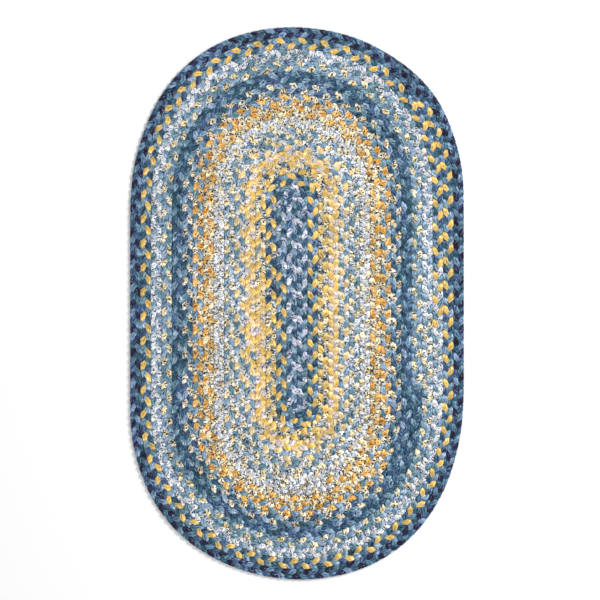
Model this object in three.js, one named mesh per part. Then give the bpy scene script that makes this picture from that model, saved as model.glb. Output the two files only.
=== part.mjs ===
// Oval braided rug: one long, flat three-strand braid of folded cotton strips, coiled
// round a straight core row and laced to itself, row by row, into a single flat mat.
//
// Millimetres, +Z up, long axis along Y. The origin is on the floor, under the middle
// of the rug. The coil starts at the far end of the core and winds counter-clockwise:
// down the left side, round the near end, up the right side and round the far end.
//
// A place on the coil is a turn number and a quarter: 0 to 1 is the left side, 1 to 2
// the near end, 2 to 3 the right side, and 3 to 4 the far end.

import * as THREE from 'three';

// ---------------------------------------------------------------- driving dimensions
const BRAID_WIDTH = 21.43; // one row of the coil, seam to seam: 32 rows make 27 inches
const TURNS = 16; // rows on each side of the core seam
const STRAIGHT_RUN = 459; // straight run of the outer rows
const THICKNESS = 9.5; // floor to the crown of a row
const SEAM_HEIGHT = 7; // floor to the valley where two rows are laced together
const FLANK_HEIGHT = 8.9; // floor to the shoulder of a row
const FLANK_SHARE = 0.22; // how far in from a seam the shoulder of a row is
const EDGE_HEIGHT = 2.4; // where the rim starts to round under
const EDGE_UNDERCUT = 2; // how far the rim rounds in before it meets the floor
const TAIL_START = 27; // degrees round the far end where the braid starts to taper
const TAIL_END = 63; // degrees round the far end where its tip is tucked in

// The rows are laid fuller round the ends, so the inner rows are shorter. Each turn's end
// lies this much further out than the last turn's, until the given turn.
const FAR_EASE = { step: 1.77, turns: 13 };
const NEAR_EASE = { step: 1.3, turns: 7 };

// Soft unevenness of the laid coil, pushed out (or drawn in) at the rim. Angles are
// degrees counter-clockwise from +X round the centre of that end.
const UNEVENNESS = [
  { end: 'far', angle: 20, spread: 12, push: -3.3 },
  { end: 'far', angle: 58, spread: 11, push: 8 },
  { end: 'far', angle: 120, spread: 12, push: 3 },
  { end: 'far', angle: 162, spread: 13, push: -8 },
  { end: 'near', angle: 222, spread: 14, push: 5.5 },
  { end: 'near', angle: 302, spread: 16, push: 6.8 },
  { end: 'near', angle: 346, spread: 12, push: -5 },
];

// ---------------------------------------------------------------- mesh fineness
const STEPS_PER_END = 20; // 9 degrees each
const STEPS_PER_SIDE = 3;

// ---------------------------------------------------------------- the coil's path
// How far short of the outer rows an end of this turn's seam stops. Turn -1 is the core's.
function shortfall(ease, turn) {
  return ease.step * THREE.MathUtils.clamp(ease.turns - turn, 0, ease.turns + 1);
}

// Where the round of each end is centred, along Y.
const farCentre = (turn) => STRAIGHT_RUN / 2 - shortfall(FAR_EASE, turn);
const nearCentre = (turn) => -STRAIGHT_RUN / 2 + shortfall(NEAR_EASE, turn);

const smooth = (share) => THREE.MathUtils.smoothstep(share, 0, 1);

// The quarter value at which each patch of unevenness is centred.
function patchQuarter({ end, angle }) {
  return end === 'far' ? 3 + angle / 180 : 1 + (angle - 180) / 180;
}

function rimPush(rows, quarter) {
  const share = Math.max(0, rows - 1 + quarter / 4) / TURNS;
  let push = 0;
  for (const patch of UNEVENNESS) {
    const apart = Math.abs(quarter - patchQuarter(patch));
    const distance = Math.min(apart, 4 - apart) / (patch.spread / 180);
    push += patch.push * Math.exp(-distance * distance / 2);
  }
  return push * share ** 3;
}

// How much of the braid's width is left: all of it, except along the tapered tail.
function tailWidth(turn, quarter) {
  if (turn < TURNS - 1 || quarter <= 3) return 1;
  const angle = (quarter - 3) * 180;
  return 1 - smooth((angle - TAIL_START) / (TAIL_END - TAIL_START));
}

// The outer seam of a turn. Turn -1 is the core seam, round which everything winds.
function seamPoint(turn, quarter, height, inset = 0) {
  const rows = turn + tailWidth(turn, quarter);
  const reach = rows * BRAID_WIDTH + rimPush(rows, quarter) - inset;
  const [far, near] = [farCentre(turn), nearCentre(turn)];
  const along = THREE.MathUtils.lerp;
  if (quarter <= 1) return [-reach, along(farCentre(turn - 1), near, quarter), height];
  if (quarter <= 2) {
    const angle = Math.PI * quarter;
    return [reach * Math.cos(angle), near + reach * Math.sin(angle), height];
  }
  if (quarter <= 3) return [reach, along(near, far, quarter - 2), height];
  const angle = Math.PI * (quarter - 3);
  const halfStep = BRAID_WIDTH / 2; // the far end's rounds are half a row across and out
  return [
    (reach + halfStep) * Math.cos(angle) - halfStep,
    far + (reach + halfStep) * Math.sin(angle),
    height,
  ];
}

// Five points across a row, from its inner seam over the crown to its outer seam.
function rowProfile(turn, quarter) {
  const inner = seamPoint(turn - 1, quarter, SEAM_HEIGHT);
  const outer = seamPoint(turn, quarter, SEAM_HEIGHT);
  const fullness = tailWidth(turn, quarter);
  const across = (share, height) => [
    THREE.MathUtils.lerp(inner[0], outer[0], share),
    THREE.MathUtils.lerp(inner[1], outer[1], share),
    THREE.MathUtils.lerp(SEAM_HEIGHT, height, fullness),
  ];
  return [
    inner,
    across(FLANK_SHARE, FLANK_HEIGHT),
    across(0.5, THICKNESS),
    across(1 - FLANK_SHARE, FLANK_HEIGHT),
    outer,
  ];
}

// Three points down the rim, from the outermost seam to the floor.
function rimProfile(turn, quarter) {
  return [
    seamPoint(turn, quarter, SEAM_HEIGHT),
    seamPoint(turn, quarter, EDGE_HEIGHT),
    seamPoint(turn, quarter, 0, EDGE_UNDERCUT),
  ];
}

// The quarter values of one whole turn, finely stepped round the ends.
function turnQuarters() {
  const quarters = [];
  for (let side = 0; side < 4; side += 1) {
    const steps = side % 2 === 0 ? STEPS_PER_SIDE : STEPS_PER_END;
    for (let step = 0; step < steps; step += 1) quarters.push(side + step / steps);
  }
  quarters.push(4);
  return quarters;
}

// ---------------------------------------------------------------- the closed surface
// Points at the same place become one vertex, so facets that close up are dropped.
class Surface {
  constructor() {
    this.points = [];
    this.index = new Map();
    this.facets = [];
  }

  vertex(point) {
    const key = point.map((value) => Math.round(value * 1000)).join(',');
    if (!this.index.has(key)) {
      this.index.set(key, this.points.length);
      this.points.push(point);
    }
    return this.index.get(key);
  }

  triangle(a, b, c) {
    const [i, j, k] = [this.vertex(a), this.vertex(b), this.vertex(c)];
    if (i !== j && j !== k && k !== i) this.facets.push(i, j, k);
  }

  // The strip between two profiles, the second one further along the coil.
  strip(before, after) {
    for (let n = 0; n + 1 < before.length; n += 1) {
      this.triangle(before[n], before[n + 1], after[n + 1]);
      this.triangle(before[n], after[n + 1], after[n]);
    }
  }

  geometry() {
    const geometry = new THREE.BufferGeometry();
    const values = this.points.flat();
    geometry.setAttribute('position', new THREE.Float32BufferAttribute(values, 3));
    geometry.setIndex(this.facets);
    return geometry;
  }
}

function coilSteps() {
  const tailTip = 3 + TAIL_END / 180;
  const quarters = turnQuarters();
  const steps = [];
  for (let turn = 0; turn < TURNS; turn += 1) {
    for (let n = 0; n + 1 < quarters.length; n += 1) {
      const isPastTip = turn === TURNS - 1 && quarters[n + 1] > tailTip + 1e-6;
      if (!isPastTip) steps.push({ turn, from: quarters[n], to: quarters[n + 1] });
    }
  }
  return steps;
}

// The top: every row of the coil, each one sharing its seams with its neighbours.
function addRows(surface) {
  for (const { turn, from, to } of coilSteps()) {
    surface.strip(rowProfile(turn, from), rowProfile(turn, to));
  }
}

// The rounded start of the core, at the far end of the first row.
function addCoreCap(surface) {
  const [right, rightFlank, crown, leftFlank, left] = rowProfile(0, 0);
  const arc = turnQuarters().filter((quarter) => quarter >= 3);
  const rim = arc.map((quarter) => seamPoint(-1, quarter, SEAM_HEIGHT));
  const third = Math.round(STEPS_PER_END / 3);
  const fan = (hub, first, last) => {
    for (let n = first; n < last; n += 1) surface.triangle(hub, rim[n], rim[n + 1]);
  };
  surface.triangle(rightFlank, right, rim[0]);
  fan(rightFlank, 0, third);
  surface.triangle(crown, rightFlank, rim[third]);
  fan(crown, third, STEPS_PER_END - third);
  surface.triangle(crown, rim[STEPS_PER_END - third], leftFlank);
  fan(leftFlank, STEPS_PER_END - third, STEPS_PER_END);
  surface.triangle(leftFlank, rim[STEPS_PER_END], left);
}

// The rim and the flat underside. The rim is the last whole turn that ends at the tail.
function addRimAndUnderside(surface) {
  const tailTip = TURNS - 1 + (3 + TAIL_END / 180) / 4;
  const isRim = ({ turn, from }) => turn + from / 4 > tailTip - 1 - 1e-6;
  const rimSteps = coilSteps().filter(isRim);
  const outline = [];
  for (const { turn, from, to } of rimSteps) {
    const profile = rimProfile(turn, from);
    surface.strip(profile, rimProfile(turn, to));
    outline.push(profile[2]);
  }
  const contour = outline.map(([x, y]) => new THREE.Vector2(x, y));
  for (const [a, b, c] of THREE.ShapeUtils.triangulateShape(contour, [])) {
    surface.triangle(outline[a], outline[c], outline[b]);
  }
}

function braidedRugGeometry() {
  const surface = new Surface();
  addRows(surface);
  addCoreCap(surface);
  addRimAndUnderside(surface);
  const geometry = surface.geometry();
  geometry.computeBoundingBox();
  const middle = geometry.boundingBox.getCenter(new THREE.Vector3());
  geometry.translate(-middle.x, -middle.y, 0);
  geometry.computeVertexNormals();
  return geometry;
}

// ---------------------------------------------------------------- the rug
const cotton = new THREE.MeshStandardMaterial({
  color: '#8b9da3',
  roughness: 0.95,
  metalness: 0,
});

const group = new THREE.Group();
const rug = new THREE.Mesh(braidedRugGeometry(), cotton);
rug.name = 'braided_rug';
group.add(rug);

export default group;
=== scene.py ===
"""An oval braided rug: strips of cotton cloth, folded and plaited three together into one
long flat braid, which is coiled round a straight core row and laced to itself."""

import math

import bpy
import numpy as np
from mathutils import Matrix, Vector


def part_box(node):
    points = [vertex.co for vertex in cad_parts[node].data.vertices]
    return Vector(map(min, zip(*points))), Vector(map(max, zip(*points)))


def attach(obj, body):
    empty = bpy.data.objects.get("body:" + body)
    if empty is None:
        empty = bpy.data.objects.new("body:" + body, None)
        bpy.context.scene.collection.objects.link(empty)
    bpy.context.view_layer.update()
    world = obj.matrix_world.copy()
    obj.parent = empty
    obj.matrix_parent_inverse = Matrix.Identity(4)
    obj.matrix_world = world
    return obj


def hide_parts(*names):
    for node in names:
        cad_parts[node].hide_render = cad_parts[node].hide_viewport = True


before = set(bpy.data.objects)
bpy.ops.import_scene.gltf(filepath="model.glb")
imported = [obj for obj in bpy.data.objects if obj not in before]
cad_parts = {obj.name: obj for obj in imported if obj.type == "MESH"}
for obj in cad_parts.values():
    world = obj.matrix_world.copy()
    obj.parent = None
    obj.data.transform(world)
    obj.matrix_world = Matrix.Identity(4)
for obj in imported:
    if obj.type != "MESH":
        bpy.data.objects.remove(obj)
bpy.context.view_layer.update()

# ------------------------------------------------------------------ the coil of the braid
# The braid winds flat and counter-clockwise from the far end of a straight core row: down
# the left side, round the near end, up the right side, round the far end, and so on. The
# strips are plaited round the line that is worked out here, and the thread is laced by it.

BRAID_WIDTH = 0.02143  # metres, from seam to seam
TURNS = 16
STRAIGHT_RUN = 0.459  # of the outer rows
TAIL_TAPER = (27, 63)  # degrees round the far end where the tail starts to taper, and ends
PLAIT_ON_SIDES = 0.0494  # metres of braid in which each strand crosses it and comes back
PLAIT_ROUND_ENDS = 0.0455
STEPS_DOWN_SIDE, STEPS_ROUND_END = 32, 64
ROUNDING = 1e-9  # turns, far less than a step

# A place on the coil is a number of turns. Each quarter of a turn is one side or one end.
# The braid is plaited a little slack in parts: (place, plaits that it is behind by there).
SLACK = [
    (0, -0.3),
    (1, 0),
    (3, -0.4),
    (3.5, -0.1),
    (9.5, 0.1),
    (11, 1.1),
    (12.5, 2.5),
    (14, 2.5),
    (14.8, 3.0),
    (15, 3.4),
]

# The rows are laid fuller round the ends, so the inner rows are shorter. Each turn's end lies
# this much further out than the last turn's, until the given turn: (metres, turns).
FAR_EASE, NEAR_EASE = (0.00177, 13), (0.0013, 7)

# The coil isn't laid quite even. Each patch of the rim is pushed out, or drawn in, at an
# angle round the centre of its end: (quarter, degrees, spread in degrees, push in mm).
UNEVENNESS = [
    (3, 20, 12, -3.3),
    (3, 58, 11, 8),
    (3, 120, 12, 3),
    (3, 162, 13, -8),
    (1, 42, 14, 5.5),
    (1, 122, 16, 6.8),
    (1, 166, 12, -5),
]


def smooth(share):
    share = min(max(share, 0), 1)
    return share * share * (3 - 2 * share)


def rim_push(rows, quarter):
    """How far the seam that closes this many rows is pushed out of its even place."""
    push = 0
    for first, angle, spread, most in UNEVENNESS:
        apart = abs(quarter - (first + angle / 180))
        distance = min(apart, 4 - apart) / (spread / 180)
        push += most / 1000 * math.exp(-distance * distance / 2)
    return push * (max(0, rows - 1 + quarter / 4) / TURNS) ** 3


def round_centre(ease, turn):
    """How far from the middle of the straight run a turn's end is centred."""
    step, turns = ease
    return STRAIGHT_RUN / 2 - step * min(max(turns - turn, 0), turns + 1)


def seam_point(turn, quarter):
    """The outer seam of a turn's row. Turn -1 is the seam of the core."""
    tail = 0
    if turn == TURNS - 1 and quarter > 3:
        start, end = TAIL_TAPER
        tail = smooth(((quarter - 3) * 180 - start) / (end - start))
    rows = turn + 1 - tail
    reach = rows * BRAID_WIDTH + rim_push(rows, quarter)
    far, near = round_centre(FAR_EASE, turn), -round_centre(NEAR_EASE, turn)
    if quarter <= 1:
        last_far = round_centre(FAR_EASE, turn - 1)
        return -reach, last_far + (near - last_far) * quarter
    if quarter <= 2:
        angle = math.pi * quarter
        return reach * math.cos(angle), near + reach * math.sin(angle)
    if quarter <= 3:
        return reach, near + (far - near) * (quarter - 2)
    angle, reach = math.pi * (quarter - 3), reach + BRAID_WIDTH / 2
    return reach * math.cos(angle) - BRAID_WIDTH / 2, far + reach * math.sin(angle)


def coil_steps(start, end):
    """Places from start to end, in turns, finely stepped round the ends."""
    places = []
    for turn in range(math.floor(start), math.ceil(end)):
        for quarter in range(4):
            steps = STEPS_ROUND_END if quarter % 2 else STEPS_DOWN_SIDE
            places += [turn + (quarter + step / steps) / 4 for step in range(steps)]
    return [start, *(place for place in places if start < place < end), end]


def parted(place):
    """A place as its turn and its quarter, from 0 to 4."""
    turn = math.floor(place + ROUNDING)
    return turn, max(0.0, (place - turn) * 4)


TAIL_TIP = TURNS - 1 + (3 + TAIL_TAPER[1] / 180) / 4
rim = np.array([seam_point(*parted(place)) for place in coil_steps(TAIL_TIP - 1, TAIL_TIP)])
low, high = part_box("braided_rug")
MIDDLE = (rim.min(0) + rim.max(0)) / 2 - np.array((low + high).xy) / 2


def braid_row(place):
    """The middle of the braid at a place on the coil, and how wide the braid is there."""
    turn, quarter = parted(place)
    inner = np.array(seam_point(turn - 1, quarter))
    outer = np.array(seam_point(turn, quarter))
    return (inner + outer) / 2 - MIDDLE, np.linalg.norm(outer - inner) / BRAID_WIDTH


places = np.array(coil_steps(0, TAIL_TIP))
rows = [braid_row(place) for place in places]
points, room = np.array([row[0] for row in rows]), np.array([row[1] for row in rows])

# The braid starts in the round cap at the far end of the core, where it is drawn together.
CAP_STEPS = 8
CAP_REACH = 0.97  # how far into the round of the cap the strands reach
CAP_TURNS = 0.01  # what the cap adds before the first turn
cap_share = np.sin(np.linspace(0.5, 0, CAP_STEPS, endpoint=False) * math.pi) * CAP_REACH
cap = points[0] + np.outer(cap_share, (0, BRAID_WIDTH / 2))
points = np.vstack([cap, points])
room = np.concatenate([np.sqrt(1 - cap_share**2), room])
places = np.concatenate([np.linspace(-CAP_TURNS, 0, CAP_STEPS, endpoint=False), places])

spans = np.linalg.norm(np.diff(points, axis=0), axis=1)
distance = np.concatenate([[0], np.cumsum(spans)])
half_turn = places[1:] * 4 % 2  # up to 1 down a side, and then up to 2 round an end
is_round = (half_turn > 1 + 1e-6) | (half_turn < 1e-6)
pitch = PLAIT_ON_SIDES + (PLAIT_ROUND_ENDS - PLAIT_ON_SIDES) * is_round
plait = np.concatenate([[0], np.cumsum(spans / pitch)]) - np.interp(places, *zip(*SLACK))


def line_of(name, line_points, **fields):
    """A mesh of edges through the points, with a number from each field on every point."""
    mesh = bpy.data.meshes.new(name)
    mesh.from_pydata(
        [(x, y, 0) for x, y in line_points],
        [(n, n + 1) for n in range(len(line_points) - 1)],
        [],
    )
    for field, values in fields.items():
        mesh.attributes.new(field, "FLOAT", "POINT").data.foreach_set("value", values)
    return mesh


braid_line = line_of("braid_line", points, plait=plait, room=room)

# ------------------------------------------------------------------ the cotton cloths
# The strips are torn from plain dyed and small printed cottons. Each cloth is matt, and its
# dye drifts a little from leaf to leaf of the plait. Shade is painted on it where it goes
# under and down the sides of its folds. Light is painted along its folded edges and where
# it turns back at the braid's edge, and light and shade are painted over its creases.


class Wire:
    """A socket of a node tree. Sums and products of wires are Math nodes."""

    def __init__(self, tree, socket=None):
        self.tree, self.socket = tree, socket

    def node(self, kind, inputs=(), out=0, **settings):
        """Adds a node: its settings, then a value or a wire for each of its sockets."""
        made = self.tree.nodes.new(kind)
        for name, setting in settings.items():
            setattr(made, name, setting)
        pairs = inputs.items() if isinstance(inputs, dict) else enumerate(inputs)
        for name, value in pairs:
            if isinstance(value, Wire):
                self.tree.links.new(value.socket, made.inputs[name])
            else:
                made.inputs[name].default_value = value
        return Wire(self.tree, made.outputs[out])

    def maths(self, operation, *others):
        return self.node("ShaderNodeMath", (self, *others), operation=operation)

    def __add__(self, other):
        return self.maths("ADD", other)

    def __sub__(self, other):
        return self.maths("SUBTRACT", other)

    def __rsub__(self, other):
        return self.node("ShaderNodeMath", (other, self), operation="SUBTRACT")

    def __mul__(self, other):
        return self.maths("MULTIPLY", other)

    def __truediv__(self, other):
        return self.maths("DIVIDE", other)

    def __rtruediv__(self, other):
        return self.node("ShaderNodeMath", (other, self), operation="DIVIDE")

    def __pow__(self, other):
        return self.maths("POWER", other)

    __radd__, __rmul__ = __add__, __mul__

    def between(self, low, high):
        """0 below low, 1 above high, and a smooth step from one to the other."""
        return self.node(
            "ShaderNodeMapRange", {0: self, 1: low, 2: high}, interpolation_type="SMOOTHSTEP"
        )

    def scaled(self, vector):
        return self.node("ShaderNodeVectorMath", (self, vector), operation="MULTIPLY")

    def noise(self, detail=1.0, dimensions="3D", **inputs):
        place = {"W": self} if dimensions == "1D" else {"Vector": self}
        inputs = {**place, "Scale": 1.0, "Detail": detail, **inputs}
        return self.node("ShaderNodeTexNoise", inputs, noise_dimensions=dimensions)

    def mixed(self, other, share, blend="MIX"):
        """This colour turned towards another by a share."""
        sockets = {0: share, 6: self, 7: other}
        return self.node("ShaderNodeMix", sockets, 2, data_type="RGBA", blend_type=blend)


def dye(code):
    """A colour that is written as on a dye card, RRGGBB, as the shader wants it."""
    values = [int(code[n : n + 2], 16) / 255 for n in (0, 2, 4)]
    linear = [((v + 0.055) / 1.055) ** 2.4 if v > 0.04045 else v / 12.92 for v in values]
    return (*linear, 1.0)


FOLDED_GIRTH = 0.0250  # metres round a folded strip
WEAVE = 0.0011  # one repeat of the coarse weave
MID_HEIGHT = (low.z + high.z) / 2

# How often each unevenness changes in a metre of strip: along it, and across it.
DRIFT = (40.0, 90.0, 0.0)
STREAKS = (80.0, 380.0, 0.0)
CREASES = (70.0, 400.0, 0.0)
SLUBS = (700.0, 1100.0, 0.0)

# How much each thing lightens or darkens the cloth, and how high it stands in metres.
DYE_STRENGTH = 0.77
# The creases are painted lighter and darker as their light and shade, and they also stand up
# in relief.
CREASE_SHADE, CREASE_RELIEF = 2.2, 0.0008
SLUB_SHADE, SLUB_RELIEF = 0.9, 0.00025
WEAVE_SHADE, WEAVE_RELIEF = 0.09, 0.00006
# Each leaf differs at random in tone. The other three shares are the highlight painted along
# the folded edges, the shade painted down their sides, and the light painted where a leaf
# turns back.
LEAF_SHADE, FOLD_HIGHLIGHT, SIDE_SHADE_DEPTH, TURN_BACK_LIGHT = 0.40, 0.55, 1.3, 0.40

# Where a leaf turns back at the braid's edge, as a share of the way to the next leaf, and
# how far from there light is painted on it in full, and none.
TURNS_BACK, FULL_LIGHT_UP_TO, NO_LIGHT_FROM = 0.81, 0.07, 0.20
# The painted shade where the cloth goes under is full this near the middle of the braid, and
# gone this far from it.
FULL_SHADE_UP_TO, NO_SHADE_FROM = 0.0002, 0.0020  # metres above or below the middle of the braid

# The bands along each side of a strip: a painted highlight, and a narrower band of painted
# shade down the middle of the side. Each fades out, or in, between two distances round it
# from the middle of its side, as shares of its girth.
FOLD_FADES_IN, FOLD_FADES_OUT, SIDE_SHADE_FADES_OUT = (0.03, 0.05), (0.08, 0.12), (0.012, 0.045)


def cotton(name, ground, drift, streaks=(), marks=(), painted_shade=0.34):
    """A cotton cloth. Its ground drifts from one dye to another, with streaks along the
    strip, (dye, noise where one starts, noise where it is full). Each mark of its print is
    (dye, size in mm, share of the cloth that it covers). The last share is how much darker
    the painted shade makes it where it goes under, and it also sets the painted shade down
    the sides of its folds."""
    material = bpy.data.materials.new(name)
    material.use_nodes = True
    tree = material.node_tree
    shader = tree.nodes["Principled BSDF"]
    start = Wire(tree)
    cloth = start.node("ShaderNodeUVMap", uv_map="cloth")
    plaited = start.node("ShaderNodeAttribute", out=2, attribute_name="leaf")
    leaf = plaited.maths("FLOOR")
    chance = leaf.node("ShaderNodeTexWhiteNoise", {"W": leaf}, noise_dimensions="1D")

    # The dye, leaf by leaf and along the strip.
    along = cloth.scaled(DRIFT).noise(2.0)
    turn_to = (along - 0.5) * 3.0 + (chance - 0.5) * 0.8 + 0.5
    colour = start.node(
        "ShaderNodeMix", {0: turn_to, 6: dye(ground), 7: dye(drift)}, 2, data_type="RGBA"
    )
    runs = cloth.scaled(STREAKS).noise(4.0, Distortion=0.4, Roughness=0.55)
    for streak_dye, begins, full in streaks:
        colour = colour.mixed(dye(streak_dye), runs.between(begins, full))
    for number, (mark_dye, size, share) in enumerate(marks):
        # Each print has its marks in other places, and they aren't quite round.
        bent = cloth.scaled((1000 / size, 1000 / size, 0.0))
        bent = bent.node("ShaderNodeVectorMath", (bent, (number * 17.3, 5.1, 0.0)))
        wobble = bent.node(
            "ShaderNodeTexNoise", {"Vector": bent, "Scale": 1.9, "Detail": 1.0}, 1
        )
        bent = bent.node("ShaderNodeVectorMath", (bent, wobble.scaled((0.8, 0.8, 0.0))))
        cells = bent.node("ShaderNodeTexVoronoi", {"Vector": bent, "Scale": 1.0})
        cell_colour = Wire(tree, cells.socket.node.outputs["Color"])
        cell_chance = cell_colour.node("ShaderNodeSeparateColor", [cell_colour])
        inked = cell_chance.between(0.99 - share * 1.2, 1.01 - share * 1.2)
        colour = colour.mixed(dye(mark_dye), (1.0 - cells.between(0.50, 0.55)) * inked)

    # Creases run along the folded strip, and light and shade are painted over them. The weave
    # and its slubs show as a fine grain.
    creases = cloth.scaled(CREASES).noise(3.0)
    slubs = cloth.scaled(SLUBS).noise(2.0)
    run, around = (cloth.node("ShaderNodeSeparateXYZ", [cloth], n) for n in (0, 1))
    threads = [(side * (math.tau / WEAVE)).maths("SINE") for side in (run, around)]
    weave = threads[0] * threads[1]

    # A highlight is painted along both folded edges, and shade is painted down their sides.
    # Shade is painted on the leaf where it goes under, and light where it turns back at the
    # edge of the braid, which also lifts the painted shade there.
    from_top = (around / FOLDED_GIRTH - 0.5).maths("ABSOLUTE")
    from_side = (from_top - 0.25).maths("ABSOLUTE")
    fold_highlight = from_side.between(*FOLD_FADES_IN) * (1.0 - from_side.between(*FOLD_FADES_OUT))
    side_shade = 1.0 - from_side.between(*SIDE_SHADE_FADES_OUT)
    height = start.node(
        "ShaderNodeSeparateXYZ", [start.node("ShaderNodeTexCoord", out=3)], 2
    )
    from_turn = (plaited - leaf - TURNS_BACK).maths("ABSOLUTE")
    turn_back_light = 1.0 - from_turn.between(FULL_LIGHT_UP_TO, NO_LIGHT_FROM)
    unshaded = (height - MID_HEIGHT).maths("ABSOLUTE").between(FULL_SHADE_UP_TO, NO_SHADE_FROM)
    unshaded = unshaded.maths("MAXIMUM", turn_back_light)
    # The creases are painted with light and shade. The folded edges get a painted highlight,
    # their sides and the parts that go under get painted shade, and the turn-back gets painted
    # light.
    light = (creases - 0.5) * CREASE_SHADE + (chance - 0.5) * LEAF_SHADE + 0.98
    light = light + weave * WEAVE_SHADE + (slubs - 0.5) * SLUB_SHADE
    light = (light + fold_highlight * creases * FOLD_HIGHLIGHT) * (1.04 - (1.0 - unshaded) * painted_shade)
    light = light * (1.0 - side_shade * (painted_shade * SIDE_SHADE_DEPTH))
    light = light * (DYE_STRENGTH + turn_back_light * TURN_BACK_LIGHT)
    grey = start.node("ShaderNodeCombineColor", (light, light, light))
    colour = colour.mixed(grey, 1.0, "MULTIPLY")

    tree.links.new(colour.socket, shader.inputs["Base Color"])
    roughness = (creases - 0.5) * 0.12 + 0.90
    tree.links.new(roughness.socket, shader.inputs["Roughness"])
    relief = creases * CREASE_RELIEF + weave * WEAVE_RELIEF + slubs * SLUB_RELIEF
    bump = start.node("ShaderNodeBump", {"Height": relief, "Distance": 1.0, "Strength": 0.8})
    tree.links.new(bump.socket, shader.inputs["Normal"])
    shader.inputs["Sheen Weight"].default_value = 0.15
    shader.inputs["Sheen Roughness"].default_value = 0.6
    shader.inputs["Specular IOR Level"].default_value = 0.2
    return material


NAVY = cotton(
    "navy_cotton", "17133a", "292c54", [("060318", 0.49, 0.41), ("7890b4", 0.56, 0.66)]
)
SLATE = cotton(
    "slate_cotton", "2f6177", "4c668f", [("101a36", 0.50, 0.39), ("8cb2c4", 0.57, 0.68)]
)
STEEL = cotton(
    "steel_blue_cotton", "6d9cae", "90a7c3", [("223e58", 0.48, 0.38), ("dee9ee", 0.56, 0.69)]
)
DUSK = cotton(
    "dusk_blue_cotton", "5d8ba2", "7d98b8", [("20385a", 0.49, 0.38), ("cadae4", 0.58, 0.72)]
)
YELLOW = cotton(
    "yellow_cotton",
    "f0cb74",
    "ebc163",
    [("c08c40", 0.45, 0.33), ("fff0c8", 0.55, 0.67)],
    painted_shade=0.16,
)
BUTTER = cotton(
    "butter_print_cotton",
    "f5e0b2",
    "f2d4a0",
    [("e8b860", 0.47, 0.38), ("fff6dc", 0.56, 0.66)],
    [("a88c6c", 3.2, 0.08), ("f2c468", 3.6, 0.12)],
    painted_shade=0.16,
)
GOLD = cotton(
    "gold_print_cotton",
    "f0b452",
    "f0c46c",
    [("dc8a2c", 0.49, 0.40), ("fff2cc", 0.55, 0.66)],
    [("a85a20", 3.4, 0.12), ("8c949a", 3.2, 0.07), ("1e141c", 3.4, 0.14)],
    painted_shade=0.26,
)
CREAM = cotton(
    "cream_print_cotton",
    "f8ecc6",
    "f4e2b0",
    marks=[
        ("f2bc48", 3.8, 0.20),
        ("ffffff", 3.8, 0.24),
        ("7c94a6", 3.8, 0.16),
        ("0c0a12", 3.3, 0.37),
    ],
    painted_shade=0.26,
)
CHALK = cotton(
    "chalk_print_cotton",
    "f3e5be",
    "ece0ca",
    marks=[
        ("eab64a", 3.6, 0.20),
        ("ffffff", 3.9, 0.22),
        ("7084a0", 3.8, 0.17),
        ("0c0a18", 3.2, 0.50),
    ],
    painted_shade=0.26,
)
WHITE = cotton(
    "white_print_cotton",
    "ebeff5",
    "d9dfe9",
    marks=[
        ("ffffff", 3.6, 0.32),
        ("8290ae", 3.3, 0.34),
        ("ecd6c4", 3.4, 0.10),
        ("120e2c", 3.1, 0.20),
    ],
)
PEARL = cotton(
    "pearl_print_cotton",
    "e6eaef",
    "d2d9e2",
    marks=[
        ("ffffff", 3.6, 0.28),
        ("6c8298", 3.4, 0.34),
        ("f0d8a8", 3.4, 0.12),
        ("120e2c", 3.1, 0.26),
    ],
)
LILAC = cotton(
    "lilac_print_cotton",
    "e0d6ca",
    "cfc6cb",
    marks=[("fff8ec", 3.6, 0.26), ("9288a2", 3.3, 0.28), ("2a2240", 3.0, 0.08)],
    painted_shade=0.26,
)
LAVENDER = cotton(
    "lavender_print_cotton",
    "cacfe0",
    "b8c0d6",
    marks=[("ffffff", 3.8, 0.32), ("5c6a94", 3.8, 0.22), ("1a1640", 3.6, 0.16)],
)
INK = cotton(
    "ink_print_cotton",
    "7790a0",
    "8c9eaa",
    marks=[("fbf8ee", 3.8, 0.32), ("f0d090", 3.4, 0.12), ("10143a", 4.0, 0.44)],
)

# ------------------------------------------------------------------ the plaited strips
# Each strand of the braid is a chain of cotton strips, folded with their raw edges inside
# and sewn end to end under a crossing. The strands cross over the middle of the braid in
# turn: on top on the way out to either edge, and underneath on the way back.

SWING = 0.0068  # how far a strand goes to each side of the braid's middle
LIFT = 0.0020  # how far it rises and dips
STRIP_WIDTH, STRIP_THICKNESS = 0.0138, 0.0050
SQUARENESS = 3.6  # of a strip's section: 2 is an ellipse
SEAM_REACH = 0.01068  # where a strip is pressed flat against the next row
SEAM_SOFTNESS = 0.0006
TIP_FULLNESS = 0.45  # how much of the height is left where the braid has no width
STEPS_PER_PLAIT, SIDES = 17, 12
STRETCH = 1.25  # metres of strip in each metre of braid
STRAND_LENGTH = 40.0  # metres, at most, which keeps the strands' cloths apart
MAP_MARGIN = 0.05  # of a row of the bake map, left empty on each side of it

# No two crossings are quite alike. They stray sideways and up by as much as this in metres,
# are wider or thicker by a share, and roll by an angle. The cloth is crumpled by a share.
STRAY, LIFT_STRAY, SIZE_STRAY, ROLL_STRAY = 0.0005, 0.0003, 0.12, 0.10
CRUMPLE, CRUMPLES_PER_METRE = 0.24, 190.0


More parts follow.
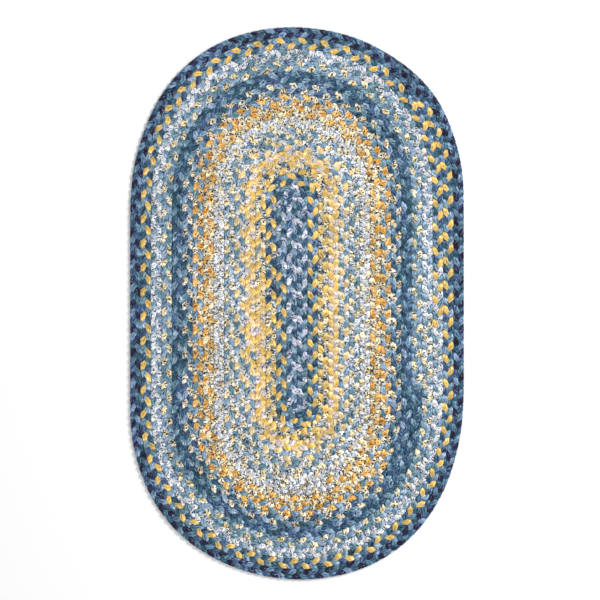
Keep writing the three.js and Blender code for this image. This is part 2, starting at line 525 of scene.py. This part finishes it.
def new_tree(name, **inputs):
    """A geometry tree with these inputs, each of a socket type, and a wire from each one."""
    tree = bpy.data.node_groups.new(name, "GeometryNodeTree")
    for label, kind in inputs.items():
        kind = "NodeSocket" + kind
        tree.interface.new_socket(label.replace("_", " "), in_out="INPUT", socket_type=kind)
    tree.interface.new_socket("Piece", in_out="OUTPUT", socket_type="NodeSocketGeometry")
    given = tree.nodes.new("NodeGroupInput")
    return tree, {label: Wire(tree, given.outputs[n]) for n, label in enumerate(inputs)}


def flat_tube(start, steps, sides):
    """A grid that is rolled into a tube later: each vertex's share of its length and girth."""
    grid = start.node("GeometryNodeMeshGrid", (1.0, 1.0, steps + 1.0, sides + 1.0))
    corner = start.node("GeometryNodeInputPosition")
    return grid, *(start.node("ShaderNodeSeparateXYZ", [corner], n) + 0.5 for n in (0, 1))


def ends_closed(share, steps):
    """0 on the first and last ring of a tube, which close its ends, and 1 on the others."""
    from_middle = (share - 0.5).maths("ABSOLUTE")
    return from_middle.maths("LESS_THAN", 0.5 - 0.25 / steps)


def along_line(share, steps, first, last):
    """Metres along the line. The first two rings share a place, and so do the last two."""
    inside = (share * steps - 1.0) / (steps - 2.0)
    return first + (last - first) * inside.maths("MAXIMUM", 0.0).maths("MINIMUM", 1.0)


def on_line(line, along, field):
    """A line's field, its place and its outward direction, at a distance along it."""
    curve = line.node("GeometryNodeMeshToCurve", [line])
    value = line.node("GeometryNodeInputNamedAttribute", [field], data_type="FLOAT")
    sockets = {"Curves": curve, "Value": value, "Length": along}
    found = line.node("GeometryNodeSampleCurve", sockets, mode="LENGTH")
    place, tangent = (Wire(line.tree, found.socket.node.outputs[n]) for n in (1, 2))
    across = (tangent, (0.0, 0.0, 1.0))
    outward = line.node("ShaderNodeVectorMath", across, operation="CROSS_PRODUCT")
    return found, place, line.node("ShaderNodeVectorMath", [outward], operation="NORMALIZE")


def moved(place, outward, across, height):
    """A point of a tube: its line's place, moved outward and raised."""
    side = place.node("ShaderNodeVectorMath", {0: outward, 3: across}, operation="SCALE")
    up = place.node("ShaderNodeCombineXYZ", (0.0, 0.0, height))
    side = place.node("ShaderNodeVectorMath", (place, side))
    return place.node("ShaderNodeVectorMath", (side, up))


def rolled_up(grid, share, girth, point, map_rows, maps, cloth):
    """Rolls the grid into a closed tube. Its bake map is the tube cut into even rows."""
    row = grid.node("GeometryNodeFieldOnDomain", [share], domain="FACE", data_type="FLOAT")
    row = (row * map_rows).maths("FLOOR")
    across = row + girth * (1 - 2 * MAP_MARGIN) + MAP_MARGIN
    bake_map = (share * map_rows - row, across / map_rows, 0.0)
    bake_map = grid.node("ShaderNodeCombineXYZ", bake_map)
    for name, value, kind, domain in [*maps, ("OFBake", bake_map, "FLOAT2", "CORNER")]:
        sockets = {"Geometry": grid, "Name": name, "Value": value}
        grid = grid.node(
            "GeometryNodeStoreNamedAttribute", sockets, data_type=kind, domain=domain
        )
    tube = grid.node("GeometryNodeSetPosition", {"Geometry": grid, "Position": point})
    tube = tube.node("GeometryNodeMergeByDistance", {"Geometry": tube, "Distance": 1e-6})
    tube = tube.node("GeometryNodeSetShadeSmooth", [tube])
    tube = tube.node("GeometryNodeRealizeInstances", [tube])
    tube = tube.node("GeometryNodeSetMaterial", {"Geometry": tube, "Material": cloth})
    grid.tree.links.new(tube.socket, grid.tree.nodes.new("NodeGroupOutput").inputs[0])


def plaited_strip():
    """The tree that plaits one folded strip round the braid's line."""
    tree, given = new_tree(
        "plaited_strip",
        Line="Geometry",
        Start="Float",
        End="Float",
        Strand="Float",
        Swing="Float",
        Lift="Float",
        Middle="Float",
        Width="Float",
        Thickness="Float",
        Steps="Int",
        Sides="Int",
        Map_Rows="Int",
        Cloth="Material",
    )
    line, strand, steps = given["Line"], given["Strand"], given["Steps"]
    grid, share, girth = flat_tube(line, steps, given["Sides"])
    body = ends_closed(share, steps)
    along = along_line(share, steps, given["Start"], given["End"])
    phase, place, outward = on_line(line, along, "plait")
    room = on_line(line, along, "room")[0]

    # Where the strand is in the plait. It is widest between the middle of the braid and its
    # edge, and thickest where it turns back.
    crossings = (phase - strand / 3.0) * 2.0
    angle = crossings * math.pi
    wander = [
        (crossings * 0.9 + strand * 71.0 + n * 23.0).noise(0.0, "1D") * 2.0 - 1.0
        for n in range(4)
    ]
    cos2, cos4 = (angle * 2.0).maths("COSINE"), (angle * 4.0).maths("COSINE")
    sway = angle.maths("SINE") + (angle * 3.0).maths("SINE") * 0.10
    across = sway * given["Swing"] + wander[0] * STRAY
    rise = (angle * 2.0).maths("SINE") * given["Lift"] + wander[1] * LIFT_STRAY
    half_width = (0.885 + cos2 * 0.02 - cos4 * 0.115) * (1.0 + wander[2] * SIZE_STRAY)
    half_width = half_width * given["Width"] / 2.0
    half_thickness = (1.0 - cos2 * 0.24 + cos4 * 0.08) * (1.0 + wander[3] * SIZE_STRAY)
    half_thickness = half_thickness * given["Thickness"] / 2.0
    roll = angle.maths("COSINE") * 0.17 + (angle * 3.0).maths("COSINE") * 0.21
    roll = roll + wander[0] * ROLL_STRAY

    # The folded section: a soft oblong that starts at the middle of its underside.
    turned = girth * math.tau - math.pi / 2
    flat = []
    for side in ("COSINE", "SINE"):
        part = turned.maths(side)
        flat.append(part.maths("SIGN") * part.maths("ABSOLUTE") ** (2 / SQUARENESS))
    crumple = (along * CRUMPLES_PER_METRE, flat[0] * 1.3, flat[1] * 1.3)
    crumple = line.node("ShaderNodeCombineXYZ", crumple)
    swell = 1.0 + (crumple.noise(1.0) - 0.5) * CRUMPLE
    wide = flat[0] * half_width * swell * body
    thick = flat[1] * half_thickness * swell * body
    roll_cos, roll_sin = roll.maths("COSINE"), roll.maths("SINE")
    across = across + wide * roll_cos - thick * roll_sin
    across = across.maths("SMOOTH_MIN", SEAM_REACH, SEAM_SOFTNESS)
    across = across.maths("SMOOTH_MAX", -SEAM_REACH, SEAM_SOFTNESS) * room
    fullness = room.maths("MINIMUM", 1.0) * (1 - TIP_FULLNESS) + TIP_FULLNESS
    height = (given["Middle"] + rise + wide * roll_sin + thick * roll_cos) * fullness
    point = moved(place, outward, across, height.maths("MAXIMUM", 0.0))

    # The cloth map runs evenly round the section, though its points crowd at the corners.
    quarters = girth * 4.0
    past = (quarters + 1.0).maths("MODULO", 2.0) - 1.0
    evenly = quarters - past + past.maths("SIGN") * past.maths("ABSOLUTE") ** (2 / SQUARENESS)
    metres = (along * STRETCH + strand * STRAND_LENGTH, evenly * (FOLDED_GIRTH / 4), 0.0)
    cloth_map = line.node("ShaderNodeCombineXYZ", metres)
    maps = [
        ("cloth", cloth_map, "FLOAT2", "CORNER"),
        ("leaf", crossings + 0.25, "FLOAT", "POINT"),
    ]
    rolled_up(grid, share, girth, point, given["Map_Rows"], maps, given["Cloth"])
    return tree


def made_piece(name, line, tree, **sizes):
    """A piece whose mesh a tree makes from a line, with the modifier worked out."""
    piece = bpy.data.objects.new(name, line)
    bpy.context.scene.collection.objects.link(piece)
    modifier = piece.modifiers.new(tree.name, "NODES")
    modifier.node_group = tree
    for item in tree.interface.items_tree:
        label = item.name.replace(" ", "_")
        if label in sizes:
            modifier[item.identifier] = sizes[label]
    bpy.context.view_layer.update()
    graph = bpy.context.evaluated_depsgraph_get()
    mesh = bpy.data.meshes.new_from_object(
        piece.evaluated_get(graph), preserve_all_data_layers=True, depsgraph=graph
    )
    piece.modifiers.clear()
    piece.data = mesh
    mesh.name = name
    return piece


def joint(place, strand):
    """Metres along the braid where a strip ends: where its strand is lowest, near a place."""
    crossings = (np.interp(place, places, plait) - strand / 3) * 2
    lowest = round(crossings - 0.75) + 0.75
    return np.interp(lowest / 2 + strand / 3, plait, distance)


# For each strand, the cloth of each strip and the number of turns at which it starts.
STRANDS = [
    [
        (STEEL, 0),
        (INK, 2.0),
        (BUTTER, 3.1),
        (CREAM, 5.22),
        (CHALK, 7.0),
        (SLATE, 10.45),
        (CREAM, 11.53),
        (WHITE, 12.6),
        (SLATE, 13.67),
    ],
    [
        (SLATE, 0),
        (CREAM, 2.12),
        (LILAC, 3.13),
        (STEEL, 4.18),
        (WHITE, 6.35),
        (GOLD, 7.4),
        (SLATE, 9.47),
        (STEEL, 11.52),
        (PEARL, 12.51),
        (YELLOW, 13.59),
        (NAVY, 14.8),
    ],
    [
        (LAVENDER, 0),
        (YELLOW, 1.09),
        (PEARL, 4.2),
        (CREAM, 7.42),
        (STEEL, 8.45),
        (STEEL, 11.2),
        (DUSK, 14.75),
    ],
]

strip_tree = plaited_strip()
for strand, chain in enumerate(STRANDS):
    ends = [0.0, *(joint(place, strand) for _, place in chain[1:]), float(distance[-1])]
    for number, (cloth, _) in enumerate(chain):
        start, end = ends[number], ends[number + 1]
        plaits = float(np.ptp(np.interp([start, end], distance, plait)))
        map_rows = round(math.sqrt((end - start) * STRETCH / FOLDED_GIRTH))
        strip = made_piece(
            f"strand_{strand + 1}_strip_{number + 1:02d}_{cloth.name}",
            braid_line,
            strip_tree,
            Start=start,
            End=end,
            Strand=float(strand),
            Swing=SWING,
            Lift=LIFT,
            Middle=MID_HEIGHT,
            Width=STRIP_WIDTH,
            Thickness=STRIP_THICKNESS,
            Steps=map_rows * round(plaits * STEPS_PER_PLAIT / map_rows),
            Sides=SIDES,
            Map_Rows=map_rows,
            Cloth=cloth,
        )
        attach(strip, "root")
        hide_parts("braided_rug")

# ------------------------------------------------------------------ the lacing thread
# A strong pale grey-blue thread of twisted cotton laces every row to the one inside it. It
# zigzags deep in the groove between them, from the core to the tail, and hardly shows.

STITCH = 0.005  # metres along the seam from one side of the groove to the other
THREAD_RADIUS, THREAD_REACH, THREAD_HEIGHT = 0.00042, 0.0017, 0.0060
THREAD_GIRTH = 0.0026  # metres round it
THREAD_ROWS, THREAD_SIDES = 32, 5
PLIES = (4200.0, 4800.0)  # how fast the plies turn along the thread, and round it


def laced_thread():
    """The tree that runs a thread in a zigzag along the seams' line."""
    tree, given = new_tree(
        "laced_thread",
        Line="Geometry",
        Length="Float",
        Radius="Float",
        Reach="Float",
        Height="Float",
        Steps="Int",
        Sides="Int",
        Map_Rows="Int",
        Cloth="Material",
    )
    line, steps = given["Line"], given["Steps"]
    grid, share, girth = flat_tube(line, steps, given["Sides"])
    body = ends_closed(share, steps) * given["Radius"]
    along = along_line(share, steps, 0.0, given["Length"])
    _, place, outward = on_line(line, along, "turns")
    side = ((share * steps).maths("ROUND").maths("MODULO", 2.0) - 0.5) * 2.0
    turned = girth * math.tau
    across = side * given["Reach"] + turned.maths("COSINE") * body
    height = given["Height"] + turned.maths("SINE") * body
    point = moved(place, outward, across, height)
    thread_map = line.node("ShaderNodeCombineXYZ", (along, girth * THREAD_GIRTH, 0.0))
    maps = [("cloth", thread_map, "FLOAT2", "CORNER")]
    rolled_up(grid, share, girth, point, given["Map_Rows"], maps, given["Cloth"])
    return tree


def thread_material():
    """Twisted cotton thread, which shows its plies as slanting bands."""
    material = bpy.data.materials.new("lacing_thread")
    material.use_nodes = True
    shader = material.node_tree.nodes["Principled BSDF"]
    start = Wire(material.node_tree)
    cloth = start.node("ShaderNodeUVMap", uv_map="cloth")
    run, around = (start.node("ShaderNodeSeparateXYZ", [cloth], n) for n in (0, 1))
    plies = (run * PLIES[0] + around * PLIES[1]).maths("SINE") * 0.5 + 0.5
    dyes = {0: plies, 6: dye("5f7488"), 7: dye("9aabb8")}
    colour = start.node("ShaderNodeMix", dyes, 2, data_type="RGBA")
    bump = start.node("ShaderNodeBump", {"Height": plies * 0.0001, "Distance": 1.0})
    material.node_tree.links.new(colour.socket, shader.inputs["Base Color"])
    material.node_tree.links.new(bump.socket, shader.inputs["Normal"])
    shader.inputs["Roughness"].default_value = 0.8
    return material


seam_places = coil_steps(-0.5, TAIL_TIP - 1)
seam = np.array([np.array(seam_point(*parted(place))) - MIDDLE for place in seam_places])
seam_length = float(np.linalg.norm(np.diff(seam, axis=0), axis=1).sum())
thread = made_piece(
    "lacing_thread",
    line_of("seam_line", seam, turns=np.array(seam_places)),
    laced_thread(),
    Length=seam_length,
    Radius=THREAD_RADIUS,
    Reach=THREAD_REACH,
    Height=THREAD_HEIGHT,
    Steps=THREAD_ROWS * round(seam_length / STITCH / THREAD_ROWS),
    Sides=THREAD_SIDES,
    Map_Rows=THREAD_ROWS,
    Cloth=thread_material(),
)
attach(thread, "root")

# ------------------------------------------------------------------ floor, light, camera
# The rug lies on a wide, pale, matt floor in an evenly lit white room. A small lamp to the
# right gives it shadows, a wide one fills them, and the camera looks straight down on it.

SCENE_WIDTH = 1.2353  # metres across the camera's view
VIEW_CENTRE = (0.0062, 0.0068)
CAMERA_HEIGHT = 3.2
FLOOR_REACH, FLOOR_HEIGHT = 12.0, -0.0002
FLOOR_CORNERS = ((-1, -1), (1, -1), (1, 1), (-1, 1))
FLOOR_PAINT = (0.98, 0.98, 0.98, 1)
ROOM_STRENGTH = 0.61
LIGHTS = [  # (name, place in metres, metres across, watts)
    ("key_light", (1.8, 1.0, 2.5), 0.8, 62),
    ("fill_light", (0.0, -1.4, 2.8), 2.4, 12),
]

floor_mesh = bpy.data.meshes.new("floor")
floor_mesh.from_pydata(
    [(x * FLOOR_REACH, y * FLOOR_REACH, FLOOR_HEIGHT) for x, y in FLOOR_CORNERS],
    [],
    [(0, 1, 2, 3)],
)
floor = bpy.data.objects.new("floor", floor_mesh)
bpy.context.scene.collection.objects.link(floor)
floor_paint = bpy.data.materials.new("floor_paint")
floor_paint.use_nodes = True
floor_shader = floor_paint.node_tree.nodes["Principled BSDF"]
floor_shader.inputs["Base Color"].default_value = FLOOR_PAINT
floor_shader.inputs["Roughness"].default_value = 0.9
floor_mesh.materials.append(floor_paint)

world = bpy.data.worlds.new("soft_room")
world.use_nodes = True
world.node_tree.nodes["Background"].inputs["Color"].default_value = (1, 1, 1, 1)
world.node_tree.nodes["Background"].inputs["Strength"].default_value = ROOM_STRENGTH
bpy.context.scene.world = world

for name, place, size, power in LIGHTS:
    lamp = bpy.data.lights.new(name, "AREA")
    lamp.size, lamp.energy = size, power
    light = bpy.data.objects.new(name, lamp)
    light.location = place
    light.rotation_euler = (-Vector(place)).to_track_quat("-Z", "Y").to_euler()
    bpy.context.scene.collection.objects.link(light)

lens = bpy.data.cameras.new("camera")
lens.sensor_width = 36
lens.lens = lens.sensor_width * CAMERA_HEIGHT / SCENE_WIDTH
camera = bpy.data.objects.new("camera", lens)
camera.location = (*VIEW_CENTRE, CAMERA_HEIGHT)
bpy.context.scene.collection.objects.link(camera)
bpy.context.scene.camera = camera
bpy.context.scene.view_settings.view_transform = "Standard"
